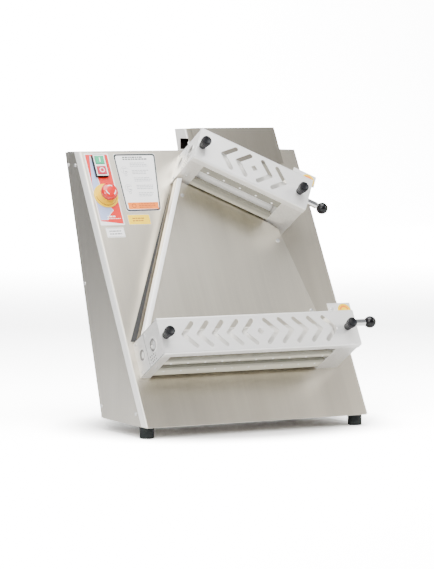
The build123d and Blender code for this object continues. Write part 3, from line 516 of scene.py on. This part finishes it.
for head, spec in heads.items():
    bed = spec["bed"]
    coverBed = bed.moved(0, 0, layout["coverHeight"])
    front = Bed(bed.at(0, -layout["bracketHalf"]), bed.across, bed.out)
    lip = Bed(bed.at(0, -layout["coverHalf"]), bed.across, bed.out)
    leftFace = bed.end(spec["left"], -1)
    rightFace = bed.end(spec["right"], 1)
    hubX, hubN = layout["hub"]
    for side, x in (("left", spec["left"] + 0.012), ("right", spec["right"] - 0.026)):
        knobPlace = coverBed.moved(x, spec["knobRise"])
        knob = turned(
            f"{head}{side.title()}Grip", [knobPlace], [(r * mm, h * mm) for r, h in knobProfile], "blackPlastic",
            f"{head}_{side}_knob", 108, ripple=flutes,
        )
        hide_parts(f"{head}_{side}_knob")

    # rows of small screws along the front scraper bar, the lower head's rear bar and the cover's lip
    inner = (spec["left"] + spec["leftBlock"], spec["right"] - layout["rightBlock"])
    count = round((inner[1] - inner[0]) / 0.043)
    along = np.linspace(inner[0] + 0.018, inner[1] - 0.018, count)
    rearRow = sum(spec["rearBar"]) / 2
    frontRow = spec["frontBar"][0] + 0.006
    smallHead = screwHead(0.0026, 0.0009)
    if head == "lower":
        rearPlaces = [front.moved(a, rearRow) for a in along]
        turned("lowerRearBarScrews", rearPlaces, smallHead, "brightHead", "casing", 20)
    turned(f"{head}FrontBarScrews", [front.moved(a, frontRow) for a in along], smallHead, "brightHead", "casing", 20)
    lipHead = screwHead(0.0019, 0.0006)
    lipRow = layout["coverHeight"] - layout["lip"] + 0.0035
    turned(f"{head}LipScrews", [lip.moved(a, lipRow) for a in along], lipHead, "brightHead", f"{head}_cover", 16)

    # outer ends: bearing rings, block screws, a parting line and a group of small holes
    ring = [(0.0143, 0), (0.0143, 0.0012), (0.0172, 0.0014), (0.018, 0.0008), (0.018, 0)]
    smallRing = [(0.0122, 0), (0.0122, 0.0010), (0.0146, 0.0011), (0.0152, 0.0006), (0.0152, 0)]
    for name, face in (("Left", leftFace), ("Right", rightFace)):
        mirror = -1 if name == "Left" else 1
        hubBed = face.moved(mirror * hubX, hubN)
        turned(f"{head}{name}HubRing", [hubBed], ring, "castMetal", "casing", 48)
        turned(f"{head}{name}AxleRing", [face.moved(0, 0.031)], smallRing, "castMetal", "casing", 48)
        corners = [face.moved(x, n) for x in (-0.033, 0.033) for n in (0.012, 0.060)]
        turned(f"{head}{name}BlockScrews", corners, screwHead(0.0036, 0.0016), "zinc", "casing", 24)
    holes = [band(x, y, 0, 2.0, 0, 360, 10) for x in (20, 27, 34) for y in (64, 72, 80, 88)]
    printed(
        f"{head}EndMarks", leftFace, 0.04 * mm,
        [("recess", rectangle(0, 54, 81, 1.2) + rectangle(-40.2, 62, 1, 122) + rectangle(40.2, 62, 1, 122)
          + band(-hubX * 1000, hubN * 1000, 12.4, 14.1, 0, 360, 40) + band(0, 31, 10.6, 12.0, 0, 360, 36)
          + sum(holes, []))],
        "casing",
    )
    blockX = spec["left"] + spec["leftBlock"] / 2
    turned(
        f"{head}BlockFrontScrews", [front.moved(blockX, n) for n in (0.050, 0.062)], screwHead(0.0022, 0.0010),
        "zinc", "casing", 20,
    )

    # scale plate: dial with an arc and ticks, and its fixing screw
    plate = bed.moved(spec["right"] - 0.005, 0.052, 0.105)
    dial = [(16.6 * cos(a), 16.6 * sin(a)) for a in np.radians(np.linspace(-36, 216, 40))]
    printed(
        f"{head}Dial", plate, 0.45 * mm,
        [
            ("printYellow", [dial]),
            ("printOrange", band(0, 0, 8.2, 12.2, 12, 168, 24)),
            ("printBrown", sum((band(0, 0, 13.2, 15.2, a, a + 4, 1) for a in range(20, 170, 22)), [])),
        ],
        "casing",
    )
    turned(
        f"{head}PlateScrew", [bed.moved(spec["right"] - 0.036, 0.056, 0.105)], screwHead(0.0042, 0.0018), "zinc",
        "casing", 28,
    )
print("heads")

# casing
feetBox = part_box("feet")
footProfile = [
    (14.6, 24.9), (15.2, 22), (15.9, 20.5), (15.9, 18.6), (15.1, 17.6), (15.9, 16.6), (15.9, 14.6), (15.1, 13.6),
    (15.9, 12.6), (15.9, 10.6), (15.1, 9.6), (15.9, 8.6), (15.9, 1.8), (14.4, 0), (7, 0), (6.2, 0.8), (6.2, 3.9),
    (0.01, 3.9),
]
middleX = (panelBox[0][0] + panelBox[1][0]) / 2
footPlaces = [
    Bed((middleX + side * x, y, 0), (1, 0, 0), (0, 1, 0))
    for x, y in ((0.263, feetBox[0][1] + 0.016), (0.18, feetBox[1][1] - 0.016)) for side in (-1, 1)
]
feet = turned("ribbedFeet", footPlaces, [(r * mm, h * mm) for r, h in footProfile], "rubber", "casing", 48)
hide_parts("feet")

chuteScrews = [(-63.8, 547.8), (150.5, 427), (189, 249), (-205, 240)]
chuteFace = panel.moved(0, 0, 0.027)
turned(
    "chuteScrewHeads", [chuteFace.moved(x * mm, y * mm) for x, y in chuteScrews], screwHead(0.0046, 0.0023), "zinc",
    "casing", 32,
)
railTop, railFoot = (-61.1, 583.7), (-241.6, 204.0)
railPath = [panel.at(x * mm, y * mm) for x, y in np.linspace(railTop, railFoot, 3)]
railSection = [
    (0.25, 27.3), (0.25, 40.8), (-0.2, 41.9), (-1.2, 42.25), (-11.8, 42.25), (-12.8, 41.9), (-13.25, 40.8),
    (-13.25, 27.3),
]
railPoints = [start + x * mm * panel.across + n * mm * panel.out for start in railPath for x, n in railSection]
piece("railCap", railPoints, gridFaces(3, len(railSection), closed=False), "railSatin", "casing")
# painted shade: a dark strip on the panel beside the rail stands for the shadowed gap under the raised chute plate
gapShadeStrip = [(-77, 575), (-73, 583), (-254, 204), (-268, 204)]
printed("railGapShade", panel, 0.45 * mm, [("recess", [gapShadeStrip])], "casing")
rise = 0.5878
backRun, frontRun = 0.2216, 0.0232
sidePlaces = []
for sign in (-1, 1):
    x = middleX + sign * 0.280
    spots = [(backRun + z * 0.3153 - 0.009, z) for z in (0.025, rise / 2, rise - 0.030)]
    spots += [(z * 0.5681 + frontRun / cos(lean) + 0.009, z) for z in (0.025, rise - 0.030)]
    for y, z in spots:
        sidePlaces.append(Bed((x, panelBox[0][1] + y, panelBox[0][2] + z), (0, sign, 0), (0, 0, 1)))
turned("sideScrewHeads", sidePlaces, screwHead(0.0043, 0.0023), "zinc", "casing", 32)
print("casing")


# stage: a pale floor that sweeps up behind, soft lights and the camera
def paleStage():
    # the camera sees the sweep far brighter than the metal does, as on an overexposed white studio floor
    shader = Shader("paleStage")
    shader.finish(colour=(0.85, 0.85, 0.85), rough=0.9)
    bright = shader.node("ShaderNodeBsdfDiffuse", {}, {"Color": (6.0, 6.0, 6.0, 1)})
    seen = shader.node("ShaderNodeLightPath", output="Is Camera Ray")
    plain = Socket(shader, shader.surface.outputs[0])
    # painted shadow: in an oval under the casing the floor keeps its own tone, so the contact shadow stays deep
    shrink = {0: shader.place(), 1: (1 / 0.36, 1 / 0.30, 0)}
    spread = shader.node("ShaderNodeVectorMath", {"operation": "MULTIPLY"}, shrink)
    paintedShadowReach = shader.node("ShaderNodeVectorMath", {"operation": "LENGTH"}, {0: spread}, "Value")
    lifted = seen * (paintedShadowReach.ramp(0.70, 1.25) * 0.92 + 0.08)
    mixed = shader.node("ShaderNodeMixShader", {}, {0: lifted, 1: plain, 2: bright})
    shader.put(shader.tree.nodes["Material Output"].inputs["Surface"], mixed)
    return shader.material


def stageSheet():
    # an L-shaped sweep: flat to 7.5 m behind, a quarter circle of 2 m, then upright
    rows = [(-16.0, 0.0), (-4.0, 0.0), (0.0, 0.0), (7.5, 0.0)]
    rows += [(7.5 + 2.0 * sin(a), 2.0 - 2.0 * cos(a)) for a in np.linspace(0.1, pi / 2, 14)]
    rows.append((9.5, 8.0))
    vertices = [(x, y, z) for y, z in rows for x in (-16.0, 16.0)]
    mesh = bpy.data.meshes.new("stageSheet")
    mesh.from_pydata(vertices, [], gridFaces(len(rows), 2, closed=False))
    mesh.polygons.foreach_set("use_smooth", [True] * len(mesh.polygons))
    mesh.materials.append(paleStage())
    made = bpy.data.objects.new("stageSheet", mesh)
    bpy.context.scene.collection.objects.link(made)


stageSheet()
world = bpy.data.worlds.new("studio")
world.use_nodes = True
world.node_tree.nodes["Background"].inputs["Color"].default_value = (0.95, 0.97, 1.0, 1)
world.node_tree.nodes["Background"].inputs["Strength"].default_value = 0.34
bpy.context.scene.world = world


def softLight(name, place, target, size, power, colour=(1, 1, 1)):
    data = bpy.data.lights.new(name, "AREA")
    data.shape = "RECTANGLE"
    data.size, data.size_y = size
    data.energy = power
    data.color = colour
    lamp = bpy.data.objects.new(name, data)
    lamp.location = place
    lamp.rotation_euler = (Vector(target) - Vector(place)).to_track_quat("-Z", "Y").to_euler()
    bpy.context.scene.collection.objects.link(lamp)


softLight("topLight", (-0.3, -0.4, 2.6), (0, 0, 0.3), (2.4, 2.0), 150)
softLight("keyLight", (-2.4, -2.6, 1.9), (0, 0, 0.3), (1.4, 1.6), 125, (1.0, 0.985, 0.96))
softLight("rightLight", (2.6, -1.6, 1.3), (0, 0, 0.3), (1.2, 1.8), 50, (1.0, 0.97, 0.93))
softLight("backLight", (2.5, 5.0, 4.5), (4.5, 9.5, 1.2), (6.0, 2.0), 900)

cameraData = bpy.data.cameras.new("camera")
cameraData.lens = 177.15
cameraData.sensor_width = 36
camera = bpy.data.objects.new("camera", cameraData)
camera.location = (-2.9975, -5.5393, 0.762)
camera.rotation_euler = (radians(85.955), 0, radians(-28.27))
bpy.context.scene.collection.objects.link(camera)
bpy.context.scene.camera = camera
print("stage")
